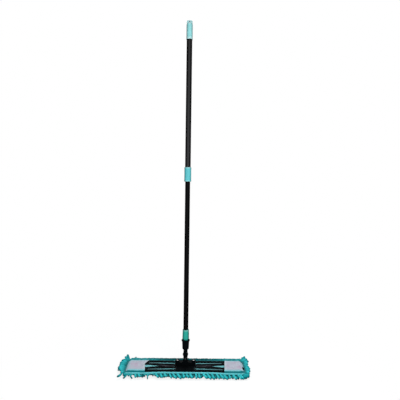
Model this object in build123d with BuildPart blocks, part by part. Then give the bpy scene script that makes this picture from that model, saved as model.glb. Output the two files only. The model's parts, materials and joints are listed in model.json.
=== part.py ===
from build123d import *
from math import atan2, cos, degrees, hypot, radians, sin
import os

# Flat chenille mop: telescopic handle, two-way swivel, folding frame and a pad with end pockets.
# Millimetres, +Z up, +Y away from the user. The origin is on the floor under the middle of the pad.

# Fits
running_clearance = 0.05  # radial, a pin in the piece that turns on it
seat_clearance = 0.02  # radial, pieces that are fixed to each other
side_clearance = 0.4  # beside a piece that swings
fabric_clearance = 0.4  # between the frame and the cloth around it

# Chenille pad
pile_height = 19.5
pile_slab = 4.0
pile_half_length = 257.0
pile_half_depth = 54.0
noodle_width = 7.6
noodle_pitch = 15.5
fringe_pitch = 12.0
fringe_root_z = 13.5
fringe_tip_z = 6.0
front_fringe_length = 16.5
end_fringe_length = 35.0
corner_fringe_length = 24.0
corner_root_in = 1.5
backing_thickness = 2.5
cloth_margin_x = 5.0  # of the backing beyond the pile, at the ends
cloth_margin_y = 3.0  # of the backing beyond the pile, front and back
binding_thickness = 2.0
binding_bottom_z = 18.0
binding_height = 7.0
pad_corner_radius = 9.0
pad_split_margin = 1.0  # past the wing's edge, where the pad bends

# End pockets
pocket_length = 84.0
pocket_margin_x = 5.0  # of the backing beyond the pocket
pocket_margin_y = 2.0
pocket_wall = 1.5
pocket_edge_radius = 3.0

# Folding frame
wing_length = 193.0
wing_half_depth = 50.0
wing_web = 3.0
wing_rim_height = 1.8
wing_rim_width = 3.5
wing_corner_radius = 8.0
slot_width = 19.0
slot_start_y = 26.9  # at the wing's edge, where the slot is open
slot_end_y = 31.3
slot_end = 74.0  # of solid plate, which the pocket covers
gap_start = 45.0
gap_flare = 122.0  # from the wing's edge to where the gap has its full width
gap_end = 10.0
gap_half_width_start = 1.6
gap_half_width_end = 16.0
hinge_x = 45.0
wing_root_gap = 1.5  # between the knuckles and the wing's edge
knuckle_radius = 3.6
middle_knuckle_length = 14.0
end_knuckle_length = 6.5
knuckle_margin = 0.6  # between a wing's knuckles and its slots
hinge_pin_radius = 1.6
hinge_head_radius = 2.9
hinge_head_height = 1.6
spring_thickness = 0.8
spring_height = 5.0
spring_relief = 0.8
detent_depth = 0.8

# Centre plate and swivel base
plate_half_depth = 51.0
plate_height = 8.3
plate_deck = 3.0
plate_wall = 3.0
plate_edge_radius = 2.0
window_length = 9.0
window_width = 3.5
window_pitch = 14.0
window_count = 5
window_y = 43.0
base_bar_height = 14.2
base_bar_radius = 9.0
base_screw_x = 36.0
boss_height = 7.5
boss_recess = 3.0  # counterbore round the screw's head
boss_recess_radius = 5.4
pedestal_length = 33.0
pedestal_depth = 24.0
pedestal_height = 17.2
screw_radius = 2.0
screw_depth = 7.0
screw_head_radius = 3.8
screw_head_height = 2.4
screw_head_round = 0.8
screw_slot = 0.9
screw_slot_depth = 1.2
screw_slot_angle = 20.0
screw_post_radius = 5.5

# Swivel
roll_rise = 14.0  # roll pin above the pedestal
tilt_rise = 17.0  # tilt pin above the roll pin
ear_thickness = 4.0
ear_radius = 9.0
ear_flank_rise = 4.7
ear_root = 1.0  # how far the ears reach down into the pedestal
tongue_radius = 9.0
shoulder_width = 19.0
shoulder_gap = 0.5  # below the fork's round ends
tongue_thickness = 13.0
eye_radius = 7.0
eye_thickness = 10.0
swivel_pin_radius = 2.5
swivel_head_radius = 4.0
swivel_head_height = 1.6
swivel_head_round = 0.8

# Handle socket
fork_thickness = 3.8
fork_depth = 15.0
fork_gap = 3.2
fork_boss_radius = 7.0
fork_boss_height = 1.4
socket_bottom_rise = 23.0
socket_body_length = 37.0
socket_bottom_radius = 14.4
socket_top_radius = 16.0
socket_round = 5.0
flange_radius = 18.6
flange_thickness = 5.5
flange_round = 1.5
thread_radius = 10.0
thread_clearance = 0.2
thread_length = 30.0
thread_floor = 1.5

# Telescopic handle
tube_wall = 0.8
lower_radius = 11.0
lower_length = 800.0
upper_radius = 12.5
upper_length = 678.5
tube_overlap = 101.5  # of the lower tube, above the collar's lower end
tip_neck = 5.5  # bare thread between the socket and the tip's sleeve
tip_length = 40.5
tip_bottom_radius = 14.8
tip_top_radius = 13.8
tip_round = 1.5
tip_floor = 3.5
rivet_radius = 1.6
rivet_head_radius = 2.8
rivet_head_height = 0.8
collar_length = 63.0
collar_radius = 15.2
collar_rim_radius = 15.8
collar_rim_length = 6.5
collar_lip = 10.0
collar_bore_clearance = 0.3
bush_length = 40.0
bush_flange = 2.0
bush_clearance = 0.06
plug_length = 36.0
plug_flange = 3.0
journal_radius = 5.6
journal_offset = 0.6
journal_length = 18.0
journal_head_radius = 8.8
journal_head_height = 4.0
ring_bore_play = 1.1
ring_side_play = 0.3
ring_bore_clearance = 0.3
ring_split = 2.5

# Hanging cap
cap_sleeve_length = 61.7
cap_radius = 14.0
cap_top = 6.0
cap_round = 2.0
neck_radius = 9.6
neck_height = 1.3
neck_root = 1.0  # how far the waist reaches up into the eye's head
eye_head_width = 26.0
eye_head_height = 15.0
eye_head_depth = 10.0
eye_hole_radius = 3.5

# Heights and places that follow from the sizes above
backing_top_z = pile_height + backing_thickness
backing_half_length = pile_half_length + cloth_margin_x
backing_half_depth = pile_half_depth + cloth_margin_y
pocket_end_x = backing_half_length - pocket_margin_x
pocket_half_depth = backing_half_depth - pocket_margin_y
frame_z = backing_top_z + fabric_clearance
wing_height = wing_web + wing_rim_height
wing_start_x = hinge_x + knuckle_radius + wing_root_gap
wing_end_x = wing_start_x + wing_length
hinge_z = frame_z + knuckle_radius
pad_split_x = wing_start_x + pad_split_margin
pad_reach_x = backing_half_length + seat_clearance + binding_thickness
pad_reach_y = backing_half_depth + seat_clearance + binding_thickness
pocket_top_z = frame_z + wing_height + fabric_clearance + pocket_wall
plate_half_length = hinge_x - knuckle_radius - side_clearance
plate_top_z = frame_z + plate_height
bar_top_z = plate_top_z + base_bar_height
boss_top_z = bar_top_z + boss_height
screw_seat_z = boss_top_z - boss_recess
pedestal_top_z = plate_top_z + pedestal_height
roll_z = pedestal_top_z + roll_rise
tilt_z = roll_z + tilt_rise
ear_inner_y = tongue_thickness / 2 + side_clearance
ear_outer_y = ear_inner_y + ear_thickness
fork_inner_x = eye_thickness / 2 + side_clearance
fork_outer_x = fork_inner_x + fork_thickness
fork_boss_x = fork_outer_x + fork_boss_height
shoulder_top_z = tilt_z - fork_depth / 2 - shoulder_gap
socket_bottom_z = tilt_z + socket_bottom_rise
flange_z = socket_bottom_z + socket_body_length
socket_top_z = flange_z + flange_thickness
tip_bottom_z = socket_top_z + tip_neck
tip_top_z = tip_bottom_z + tip_length
lower_bottom_z = tip_bottom_z + tip_floor
lower_top_z = lower_bottom_z + lower_length
collar_bottom_z = lower_top_z - tube_overlap
upper_bottom_z = collar_bottom_z + collar_lip + bush_flange
upper_top_z = upper_bottom_z + upper_length
lower_bore = lower_radius - tube_wall
upper_bore = upper_radius - tube_wall
cap_bottom_z = upper_top_z - cap_sleeve_length
cap_shoulder_z = upper_top_z + cap_top
eye_bottom_z = cap_shoulder_z + neck_height
eye_z = eye_bottom_z + eye_head_height / 2

sides = {"left": -1, "right": 1}
os.makedirs("parts", exist_ok=True)


def save(piece, name):
    piece.label = name
    export_step(piece, f"parts/{name}.step")


def across(y):
    """Sketch plane at one depth. Sketch x and y are world X and Z, and it extrudes towards -Y."""
    return Plane.XZ.offset(-y)


def beside(x):
    """Sketch plane at one station of X. Sketch x and y are world Y and Z, and it extrudes towards +X."""
    return Plane.YZ.offset(x)


def even_places(low, high, pitch):
    """Places at about one pitch, spread evenly between two limits."""
    count = max(1, round((high - low) / pitch))
    step = (high - low) / count
    return [low + step * (index + 0.5) for index in range(count)]


# Chenille pile: a slab of short vertical noodles, with a fringe of slanting ones round the edge


def fringe_plane(x, y, heading, reach):
    """Sketch plane at the root of one fringe noodle that points out along heading and down."""
    slope = atan2(fringe_root_z - fringe_tip_z, reach)
    out = (cos(heading) * cos(slope), sin(heading) * cos(slope), -sin(slope))
    level = (-sin(heading), cos(heading), 0)
    return Plane(origin=(x, y, fringe_root_z), x_dir=level, z_dir=out)


def pile_section(low_x, high_x, end_side):
    """One stretch of pile. end_side is -1 or 1 where it holds the pad's end fringe, and 0 in the middle."""
    root_in = noodle_width / 2
    columns = even_places(low_x, high_x, noodle_pitch)
    rows = even_places(-pile_half_depth, pile_half_depth, noodle_pitch)
    edge_columns = even_places(low_x, high_x, fringe_pitch)
    edge_rows = even_places(-pile_half_depth, pile_half_depth, fringe_pitch)
    with BuildPart() as pile:
        with BuildSketch(Plane.XY.offset(pile_height)):
            with Locations(((low_x + high_x) / 2, 0)):
                Rectangle(high_x - low_x, 2 * pile_half_depth)
        extrude(amount=-pile_slab)
        with BuildSketch(Plane.XY.offset(pile_height - pile_slab)):
            with Locations(*[(x, y) for x in columns for y in rows]):
                Rectangle(noodle_width, noodle_width, rotation=45)
        extrude(amount=-(pile_height - pile_slab))
        front_and_back = [
            fringe_plane(x, edge * (pile_half_depth - root_in), edge * radians(90), front_fringe_length)
            for x in edge_columns
            for edge in (-1, 1)
        ]
        with BuildSketch(*front_and_back):
            Rectangle(noodle_width, noodle_width)
        extrude(amount=front_fringe_length + root_in)
        if end_side:
            end_x = end_side * (pile_half_length - root_in)
            heading = 0 if end_side > 0 else radians(180)
            end_planes = [fringe_plane(end_x, y, heading, end_fringe_length) for y in edge_rows]
            with BuildSketch(*end_planes):
                Rectangle(noodle_width, noodle_width)
            extrude(amount=end_fringe_length + root_in)
            corner_planes = [
                fringe_plane(
                    end_side * (pile_half_length - corner_root_in),
                    edge * (pile_half_depth - corner_root_in),
                    atan2(edge, end_side),
                    corner_fringe_length,
                )
                for edge in (-1, 1)
            ]
            with BuildSketch(*corner_planes):
                Rectangle(noodle_width, noodle_width)
            extrude(amount=corner_fringe_length)
    return pile.part


# The pad's cloth: backing sheet, edge binding and the pocket at each end


def pad_outline(grow, mode=Mode.ADD):
    """Plan of the whole pad's cloth, grown by a margin."""
    length = 2 * (backing_half_length + grow)
    depth = 2 * (backing_half_depth + grow)
    RectangleRounded(length, depth, pad_corner_radius + grow, mode=mode)


def keep_stretch(low_x, high_x):
    """Cuts the sketch down to one stretch of the pad's length."""
    with Locations(((low_x + high_x) / 2, 0)):
        Rectangle(high_x - low_x, 2 * pad_reach_y, mode=Mode.INTERSECT)


def backing_section(low_x, high_x):
    with BuildPart() as backing:
        with BuildSketch(Plane.XY.offset(pile_height)):
            pad_outline(0)
            keep_stretch(low_x, high_x)
        extrude(amount=backing_thickness)
    return backing.part


def binding_section(low_x, high_x):
    with BuildPart() as binding:
        with BuildSketch(Plane.XY.offset(binding_bottom_z)):
            pad_outline(seat_clearance + binding_thickness)
            pad_outline(seat_clearance, Mode.SUBTRACT)
            keep_stretch(low_x, high_x)
        extrude(amount=binding_height)
    return binding.part


def pocket(side):
    """Cloth cap over a wing's end, open below and towards the middle."""
    middle_x = side * (pocket_end_x - pocket_length / 2)
    outer_plane = Plane(origin=(middle_x, 0, backing_top_z))
    inner_plane = Plane(origin=(middle_x - side * pocket_wall, 0, backing_top_z))
    with BuildPart() as sleeve:
        with BuildSketch(outer_plane):
            Rectangle(pocket_length, 2 * pocket_half_depth)
        extrude(amount=pocket_top_z - backing_top_z)
        end_face = sleeve.faces().sort_by(Axis.X)[-1 if side > 0 else 0]
        fillet(end_face.edges().filter_by(Axis.Z), pad_corner_radius)
        fillet(sleeve.faces().sort_by(Axis.Z)[-1].edges().filter_by(Axis.X), pocket_edge_radius)
        with BuildSketch(inner_plane):
            Rectangle(pocket_length, 2 * (pocket_half_depth - pocket_wall))
        extrude(amount=pocket_top_z - pocket_wall - backing_top_z, mode=Mode.SUBTRACT)
    return sleeve.part


# Frame wings: webbed plates with raised rims, two long slots and a wedge-shaped gap


def wing_plan(side, grow, mode=Mode.ADD):
    with Locations((side * (wing_start_x + wing_end_x) / 2, 0)):
        RectangleRounded(
            wing_length + 2 * grow, 2 * (wing_half_depth + grow), wing_corner_radius + grow, mode=mode
        )


def wing_openings(side, grow, mode=Mode.ADD):
    """Plan of a wing's two slots, open at the hinge and drawing apart, and of the gap between its bars."""
    last = wing_end_x - slot_end - slot_width / 2
    rise = (slot_end_y - slot_start_y) / (last - wing_start_x)
    first = wing_start_x - slot_width
    first_y = slot_start_y - rise * slot_width
    length = hypot(last - first, slot_end_y - first_y)
    for edge in (-1, 1):
        with Locations((side * (first + last) / 2, edge * (first_y + slot_end_y) / 2)):
            turn = side * edge * degrees(atan2(slot_end_y - first_y, last - first))
            SlotCenterToCenter(length, slot_width + 2 * grow, rotation=turn, mode=mode)
    narrow_x = side * (wing_start_x + gap_start - grow)
    flare_x = side * (wing_start_x + gap_flare - grow)
    wide_x = side * (wing_end_x - gap_end + grow)
    corners = [
        (narrow_x, -gap_half_width_start - grow),
        (flare_x, -gap_half_width_end - grow),
        (wide_x, -gap_half_width_end - grow),
        (wide_x, gap_half_width_end + grow),
        (flare_x, gap_half_width_end + grow),
        (narrow_x, gap_half_width_start + grow),
    ]
    Polygon(*corners, align=None, mode=mode)


def wing(side, knuckles):
    with BuildPart() as plate:
        with BuildSketch(Plane.XY.offset(frame_z)):
            wing_plan(side, 0)
            wing_openings(side, 0, Mode.SUBTRACT)
        extrude(amount=wing_web)
        with BuildSketch(Plane.XY.offset(frame_z)):
            wing_plan(side, 0)
            wing_plan(side, -wing_rim_width, Mode.SUBTRACT)
            wing_openings(side, wing_rim_width)
            wing_plan(side, 0, Mode.INTERSECT)
            wing_openings(side, 0, Mode.SUBTRACT)
        extrude(amount=wing_height)
        for low_y, high_y in knuckles:
            arm = wing_start_x + wing_corner_radius - hinge_x
            with BuildSketch(across(high_y)):
                with Locations((side * hinge_x, hinge_z)):
                    Circle(knuckle_radius)
                with Locations((side * (hinge_x + arm / 2), frame_z + wing_web / 2)):
                    Rectangle(arm, wing_web)
            extrude(amount=high_y - low_y)
            flat_x = side * (hinge_x - knuckle_radius + detent_depth / 2)
            with BuildSketch(across(high_y)):
                with Locations((flat_x, hinge_z)):
                    Rectangle(detent_depth, 2 * knuckle_radius)
            extrude(amount=high_y - low_y, mode=Mode.SUBTRACT)
        with BuildSketch(across(plate_half_depth)):
            with Locations((side * hinge_x, hinge_z)):
                Circle(hinge_pin_radius + running_clearance)
        extrude(amount=2 * plate_half_depth, mode=Mode.SUBTRACT)
    return plate.part


def hinge_pin(side):
    """Steel rod through both rows of knuckles, with a flat head at each end."""
    with BuildPart() as rod:
        with BuildSketch(across(plate_half_depth)):
            with Locations((side * hinge_x, hinge_z)):
                Circle(hinge_pin_radius)
        extrude(amount=2 * plate_half_depth)
        for head_y in (plate_half_depth + hinge_head_height, -plate_half_depth):
            with BuildSketch(across(head_y)):
                with Locations((side * hinge_x, hinge_z)):
                    Circle(hinge_head_radius)
            extrude(amount=hinge_head_height)
    return rod.part


def detent_springs(side, knuckles):
    """Spring strips on the centre plate's end, each against the flat of one wing knuckle."""
    strip_x = side * (plate_half_length + spring_thickness / 2)
    with BuildPart() as strips:
        for low_y, high_y in knuckles:
            with BuildSketch(across(high_y)):
                with Locations((strip_x, hinge_z)):
                    Rectangle(spring_thickness, spring_height)
            extrude(amount=high_y - low_y)
    return strips.part


# Knuckle rows along each hinge: three belong to the centre plate and four to the wing's bars
slot_near_y = slot_start_y - slot_width / 2 - knuckle_margin
slot_far_y = slot_start_y + slot_width / 2 + knuckle_margin
plate_knuckle_y = plate_half_depth - end_knuckle_length
middle_y = middle_knuckle_length / 2
detent_knuckles = [(middle_y + side_clearance, slot_near_y), (-slot_near_y, -middle_y - side_clearance)]
wing_knuckles = detent_knuckles + [
    (slot_far_y, plate_knuckle_y - side_clearance),
    (side_clearance - plate_knuckle_y, -slot_far_y),
]
plate_knuckles = [
    (plate_knuckle_y, plate_half_depth),
    (-middle_y, middle_y),
    (-plate_half_depth, -plate_knuckle_y),
]

for name, side in sides.items():
    near_x = side * (pad_split_x + fabric_clearance)
    pile_limits = sorted((near_x, side * pile_half_length))
    cloth_limits = sorted((near_x, side * pad_reach_x))
    save(pile_section(*pile_limits, side), f"pile_{name}")
    save(backing_section(*cloth_limits), f"backing_{name}")
    save(binding_section(*cloth_limits), f"binding_{name}")
    save(pocket(side), f"{name}_pocket")
    save(wing(side, wing_knuckles), f"{name}_wing")
    save(hinge_pin(side), f"{name}_hinge_pin")
    save(detent_springs(side, detent_knuckles), f"{name}_detent_springs")

save(pile_section(-pad_split_x, pad_split_x, 0), "pile_middle")
save(backing_section(-pad_split_x, pad_split_x), "backing_middle")
save(binding_section(-pad_split_x, pad_split_x), "binding_middle")

# Centre plate: hollow deck with hinge knuckles on both ends and a row of windows front and back
with BuildPart() as centre_plate:
    with BuildSketch(Plane.XY.offset(frame_z)):
        Rectangle(2 * plate_half_length, 2 * plate_half_depth)
    extrude(amount=plate_height)
    fillet(centre_plate.faces().sort_by(Axis.Z)[-1].edges(), plate_edge_radius)
    with BuildSketch(Plane.XY.offset(frame_z)):
        Rectangle(2 * (plate_half_length - plate_wall), 2 * (plate_half_depth - plate_wall))
    extrude(amount=plate_height - plate_deck, mode=Mode.SUBTRACT)
    with BuildSketch(Plane.XY.offset(plate_top_z)):
        for edge in (-1, 1):
            with Locations((0, edge * window_y)):
                with GridLocations(window_pitch, 1, window_count, 1):
                    SlotOverall(window_length, window_width)
    extrude(amount=-plate_deck, mode=Mode.SUBTRACT)
    with BuildSketch(Plane.XY.offset(frame_z)):
        with Locations((-base_screw_x, 0), (base_screw_x, 0)):
            Circle(screw_post_radius)
        Rectangle(2 * plate_half_length, 2 * plate_half_depth, mode=Mode.INTERSECT)
    extrude(amount=plate_height - plate_deck)
    for low_y, high_y in plate_knuckles:
        with BuildSketch(across(high_y)):
            for side in sides.values():
                with Locations((side * hinge_x, hinge_z)):
                    Circle(knuckle_radius)
                with Locations((side * (plate_half_length + hinge_x) / 2, hinge_z)):
                    Rectangle(hinge_x - plate_half_length, 2 * knuckle_radius)
        extrude(amount=high_y - low_y)
    relief_x = plate_half_length - spring_relief / 2
    for low_y, high_y in detent_knuckles:
        with BuildSketch(across(high_y)):
            with Locations((-relief_x, hinge_z + spring_height / 4), (relief_x, hinge_z + spring_height / 4)):
                Rectangle(spring_relief, spring_height / 2)
        extrude(amount=high_y - low_y, mode=Mode.SUBTRACT)
    with BuildSketch(across(plate_half_depth)):
        with Locations((-hinge_x, hinge_z), (hinge_x, hinge_z)):
            Circle(hinge_pin_radius + seat_clearance)
    extrude(amount=2 * plate_half_depth, mode=Mode.SUBTRACT)
    with BuildSketch(Plane.XY.offset(plate_top_z)):
        with Locations((-base_screw_x, 0), (base_screw_x, 0)):
            Circle(screw_radius + seat_clearance)
    extrude(amount=-screw_depth, mode=Mode.SUBTRACT)
save(centre_plate.part, "centre_plate")

# Swivel base: a bar screwed to the plate at both ends, with a pedestal and two ears for the roll pin
with BuildPart() as swivel_base:
    with BuildSketch(Plane.XY.offset(plate_top_z)):
        SlotCenterToCenter(2 * base_screw_x, 2 * base_bar_radius)
    extrude(amount=base_bar_height)
    with BuildSketch(Plane.XY.offset(plate_top_z)):
        with Locations((-base_screw_x, 0), (base_screw_x, 0)):
            Circle(base_bar_radius)
    extrude(amount=base_bar_height + boss_height)
    with BuildSketch(Plane.XY.offset(plate_top_z)):
        RectangleRounded(pedestal_length, pedestal_depth, plate_edge_radius)
    extrude(amount=pedestal_height)
    for outer_y in (ear_outer_y, -ear_inner_y):
        with BuildSketch(across(outer_y)):
            with BuildLine():
                foot = pedestal_length / 2 - plate_edge_radius
                start = Line((-foot, pedestal_top_z - ear_root), (foot, pedestal_top_z - ear_root))
                rise = Line(start @ 1, (foot, pedestal_top_z))
                flank = Line(rise @ 1, (ear_radius, pedestal_top_z + ear_flank_rise))
                cheek = Line(flank @ 1, (ear_radius, roll_z))
                crown = CenterArc((0, roll_z), ear_radius, 0, 180)
                far_cheek = Line(crown @ 1, (-ear_radius, pedestal_top_z + ear_flank_rise))
                far_flank = Line(far_cheek @ 1, (-foot, pedestal_top_z))
                Line(far_flank @ 1, start @ 0)
            make_face()
        extrude(amount=ear_thickness)
    with BuildSketch(across(ear_outer_y)):
        with Locations((0, roll_z)):
            Circle(swivel_pin_radius + seat_clearance)
    extrude(amount=2 * ear_outer_y, mode=Mode.SUBTRACT)
    with BuildSketch(Plane.XY.offset(boss_top_z)):
        with Locations((-base_screw_x, 0), (base_screw_x, 0)):
            Circle(screw_radius + seat_clearance)
    extrude(amount=-(boss_height + base_bar_height), mode=Mode.SUBTRACT)
    with BuildSketch(Plane.XY.offset(boss_top_z)):
        with Locations((-base_screw_x, 0), (base_screw_x, 0)):
            Circle(boss_recess_radius)
    extrude(amount=-boss_recess, mode=Mode.SUBTRACT)
save(swivel_base.part, "swivel_base")

# Two slotted screws through the bar's bosses into the plate's posts
with BuildPart() as base_screws:
    with BuildSketch(Plane.XY.offset(plate_top_z - screw_depth)):
        with Locations((-base_screw_x, 0), (base_screw_x, 0)):
            Circle(screw_radius)
    extrude(amount=screw_seat_z - plate_top_z + screw_depth)
    with BuildSketch(Plane.XY.offset(screw_seat_z)):
        with Locations((-base_screw_x, 0), (base_screw_x, 0)):
            Circle(screw_head_radius)
    extrude(amount=screw_head_height)
    fillet(base_screws.faces().sort_by(Axis.Z)[-2:].edges(), screw_head_round)
    with BuildSketch(Plane.XY.offset(screw_seat_z + screw_head_height)):
        with Locations((-base_screw_x, 0), (base_screw_x, 0)):
            Rectangle(2 * screw_head_radius, screw_slot, rotation=screw_slot_angle)
    extrude(amount=-screw_slot_depth, mode=Mode.SUBTRACT)
save(base_screws.part, "base_screws")

# Roll pin, along Y through the two ears
with BuildPart() as roll_pin:
    with BuildSketch(across(ear_outer_y)):
        with Locations((0, roll_z)):
            Circle(swivel_pin_radius)
    extrude(amount=2 * ear_outer_y)
    for head_y in (ear_outer_y + swivel_head_height, -ear_outer_y):
        with BuildSketch(across(head_y)):
            with Locations((0, roll_z)):
                Circle(swivel_head_radius)
        extrude(amount=swivel_head_height)
    fillet(roll_pin.faces().sort_by(Axis.Y)[0].edges(), swivel_head_round)
    fillet(roll_pin.faces().sort_by(Axis.Y)[-1].edges(), swivel_head_round)
save(roll_pin.part, "roll_pin")

# Swivel knuckle: a lower tongue that turns on the roll pin and an upper eye that holds the tilt pin
with BuildPart() as knuckle:
    with BuildSketch(across(tongue_thickness / 2)):
        with Locations((0, roll_z)):
            Circle(tongue_radius)
        with Locations((0, (roll_z + tilt_z) / 2)):
            Rectangle(eye_thickness, tilt_z - roll_z)
        with Locations((0, (roll_z + shoulder_top_z) / 2)):
            Rectangle(shoulder_width, shoulder_top_z - roll_z)
    extrude(amount=tongue_thickness)
    with BuildSketch(beside(-eye_thickness / 2)):
        with Locations((0, tilt_z)):
            Circle(eye_radius)
    extrude(amount=eye_thickness)
    with BuildSketch(across(tongue_thickness / 2)):
        with Locations((0, roll_z)):
            Circle(swivel_pin_radius + running_clearance)
    extrude(amount=tongue_thickness, mode=Mode.SUBTRACT)
    with BuildSketch(beside(-eye_thickness / 2)):
        with Locations((0, tilt_z)):
            Circle(swivel_pin_radius + running_clearance)
    extrude(amount=eye_thickness, mode=Mode.SUBTRACT)
save(knuckle.part, "knuckle")

# Tilt pin, along X through the socket's fork
with BuildPart() as tilt_pin:
    with BuildSketch(beside(-fork_boss_x)):
        with Locations((0, tilt_z)):
            Circle(swivel_pin_radius)
    extrude(amount=2 * fork_boss_x)
    for head_x in (-fork_boss_x - swivel_head_height, fork_boss_x):
        with BuildSketch(beside(head_x)):
            with Locations((0, tilt_z)):
                Circle(swivel_head_radius)
        extrude(amount=swivel_head_height)
    fillet(tilt_pin.faces().sort_by(Axis.X)[0].edges(), swivel_head_round)
    fillet(tilt_pin.faces().sort_by(Axis.X)[-1].edges(), swivel_head_round)
save(tilt_pin.part, "tilt_pin")

# Socket: flanged cup for the handle's threaded tip, with the swivel's fork below it
with BuildPart() as socket:
    with BuildSketch(Plane.XZ):
        with BuildLine():
            Polyline(
                (0, socket_bottom_z),
                (socket_bottom_radius, socket_bottom_z),
                (socket_top_radius, flange_z),
                (flange_radius, flange_z),
                (flange_radius, socket_top_z),
                (0, socket_top_z),
                close=True,
            )
        make_face()
    revolve(axis=Axis.Z)
    bottom_rim = socket.faces().sort_by(Axis.Z)[0].edges()
    fillet(bottom_rim, socket_round)
    flange_rims = socket.edges().filter_by(GeomType.CIRCLE).sort_by(SortBy.RADIUS)[-2:]
    fillet(flange_rims, flange_round)
    with BuildSketch(beside(-fork_outer_x)):
        with Locations((0, tilt_z)):
            Circle(fork_depth / 2)
        with Locations((0, (tilt_z + socket_bottom_z + socket_round) / 2)):
            Rectangle(fork_depth, socket_bottom_z + socket_round - tilt_z)
    extrude(amount=2 * fork_outer_x)
    with BuildSketch(beside(-fork_boss_x)):
        with Locations((0, tilt_z)):
            Circle(fork_boss_radius)
    extrude(amount=2 * fork_boss_x)
    with BuildSketch(beside(-fork_inner_x)):
        with Locations((0, tilt_z)):
            Circle(eye_radius + fork_gap)
        with Locations((0, tilt_z - fork_depth / 2)):
            Rectangle(2 * fork_depth, fork_depth)
    extrude(amount=2 * fork_inner_x, mode=Mode.SUBTRACT)
    with BuildSketch(beside(-fork_boss_x)):
        with Locations((0, tilt_z)):
            Circle(swivel_pin_radius + seat_clearance)
    extrude(amount=2 * fork_boss_x, mode=Mode.SUBTRACT)
    with BuildSketch(Plane.XY.offset(socket_top_z)):
        Circle(thread_radius + thread_clearance)
    extrude(amount=-(thread_length + thread_floor), mode=Mode.SUBTRACT)
save(socket.part, "socket")

# Handle tip: screwed stud below, tapered sleeve round the end of the lower tube above
with BuildPart() as handle_tip:
    with BuildSketch(Plane.XZ):
        with BuildLine():
            Polyline(
                (0, socket_top_z - thread_length),
                (thread_radius, socket_top_z - thread_length),
                (thread_radius, tip_bottom_z),
                (tip_bottom_radius, tip_bottom_z),
                (tip_top_radius, tip_top_z),
                (lower_radius + seat_clearance, tip_top_z),
                (lower_radius + seat_clearance, lower_bottom_z),
                (0, lower_bottom_z),
                close=True,
            )
        make_face()
    revolve(axis=Axis.Z)
    fillet(handle_tip.faces().sort_by(Axis.Z)[-1].outer_wire().edges(), tip_round)
    rivet_z = (lower_bottom_z + tip_top_z) / 2
    with BuildSketch(beside(-tip_bottom_radius)):
        with Locations((0, rivet_z)):
            Circle(rivet_radius + seat_clearance)
    extrude(amount=2 * tip_bottom_radius, mode=Mode.SUBTRACT)
save(handle_tip.part, "handle_tip")

# Rivet that pins the tip to the lower tube
with BuildPart() as tip_rivet:
    rivet_half = tip_bottom_radius
    with BuildSketch(beside(-rivet_half)):
        with Locations((0, rivet_z)):
            Circle(rivet_radius)
    extrude(amount=2 * rivet_half)
    for head_x in (-rivet_half - rivet_head_height, rivet_half):
        with BuildSketch(beside(head_x)):
            with Locations((0, rivet_z)):
                Circle(rivet_head_radius)
        extrude(amount=rivet_head_height)
save(tip_rivet.part, "tip_rivet")

# Lower tube, the thinner of the two
with BuildPart() as lower_tube:
    with BuildSketch(Plane.XY.offset(lower_bottom_z)):
        Circle(lower_radius)
        Circle(lower_bore, mode=Mode.SUBTRACT)
    extrude(amount=lower_length)
    with BuildSketch(beside(-lower_radius)):
        with Locations((0, rivet_z)):
            Circle(rivet_radius + seat_clearance)
    extrude(amount=2 * lower_radius, mode=Mode.SUBTRACT)
save(lower_tube.part, "lower_tube")

# Twist lock: a plug in the lower tube's end with an off-centre journal, and the split ring on it
journal_z = lower_top_z + plug_flange
with BuildPart() as lock_plug:
    with BuildSketch(Plane.XY.offset(lower_top_z - plug_length)):
        Circle(lower_bore - seat_clearance)
    extrude(amount=plug_length)
    with BuildSketch(Plane.XY.offset(lower_top_z)):
        Circle(lower_radius)
    extrude(amount=plug_flange)
    with BuildSketch(Plane.XY.offset(journal_z)):
        with Locations((journal_offset, 0)):
            Circle(journal_radius)
    extrude(amount=journal_length)
    with BuildSketch(Plane.XY.offset(journal_z + journal_length)):
        Circle(journal_head_radius)
    extrude(amount=journal_head_height)
save(lock_plug.part, "lock_plug")

ring_radius = upper_bore - ring_bore_clearance
with BuildPart() as lock_ring:
    with BuildSketch(Plane.XY.offset(journal_z + ring_side_play)):
        Circle(ring_radius)
        with Locations((journal_offset, 0)):
            Circle(journal_radius + ring_bore_play, mode=Mode.SUBTRACT)
        with Locations((-ring_radius, 0)):
            Rectangle(2 * ring_radius, ring_split, mode=Mode.SUBTRACT)
    extrude(amount=journal_length - 2 * ring_side_play)
save(lock_ring.part, "lock_ring")

# Upper tube, with its guide bush and collar at the lower end
with BuildPart() as upper_tube:
    with BuildSketch(Plane.XY.offset(upper_bottom_z)):
        Circle(upper_radius)
        Circle(upper_bore, mode=Mode.SUBTRACT)
    extrude(amount=upper_length)
save(upper_tube.part, "upper_tube")

with BuildPart() as guide_bush:
    with BuildSketch(Plane.XY.offset(upper_bottom_z - bush_flange)):
        Circle(upper_radius)
    extrude(amount=bush_flange)
    with BuildSketch(Plane.XY.offset(upper_bottom_z)):
        Circle(upper_bore - seat_clearance)
    extrude(amount=bush_length)
    with BuildSketch(Plane.XY.offset(upper_bottom_z - bush_flange)):
        Circle(lower_radius + bush_clearance)
    extrude(amount=bush_flange + bush_length, mode=Mode.SUBTRACT)
save(guide_bush.part, "guide_bush")

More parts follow.
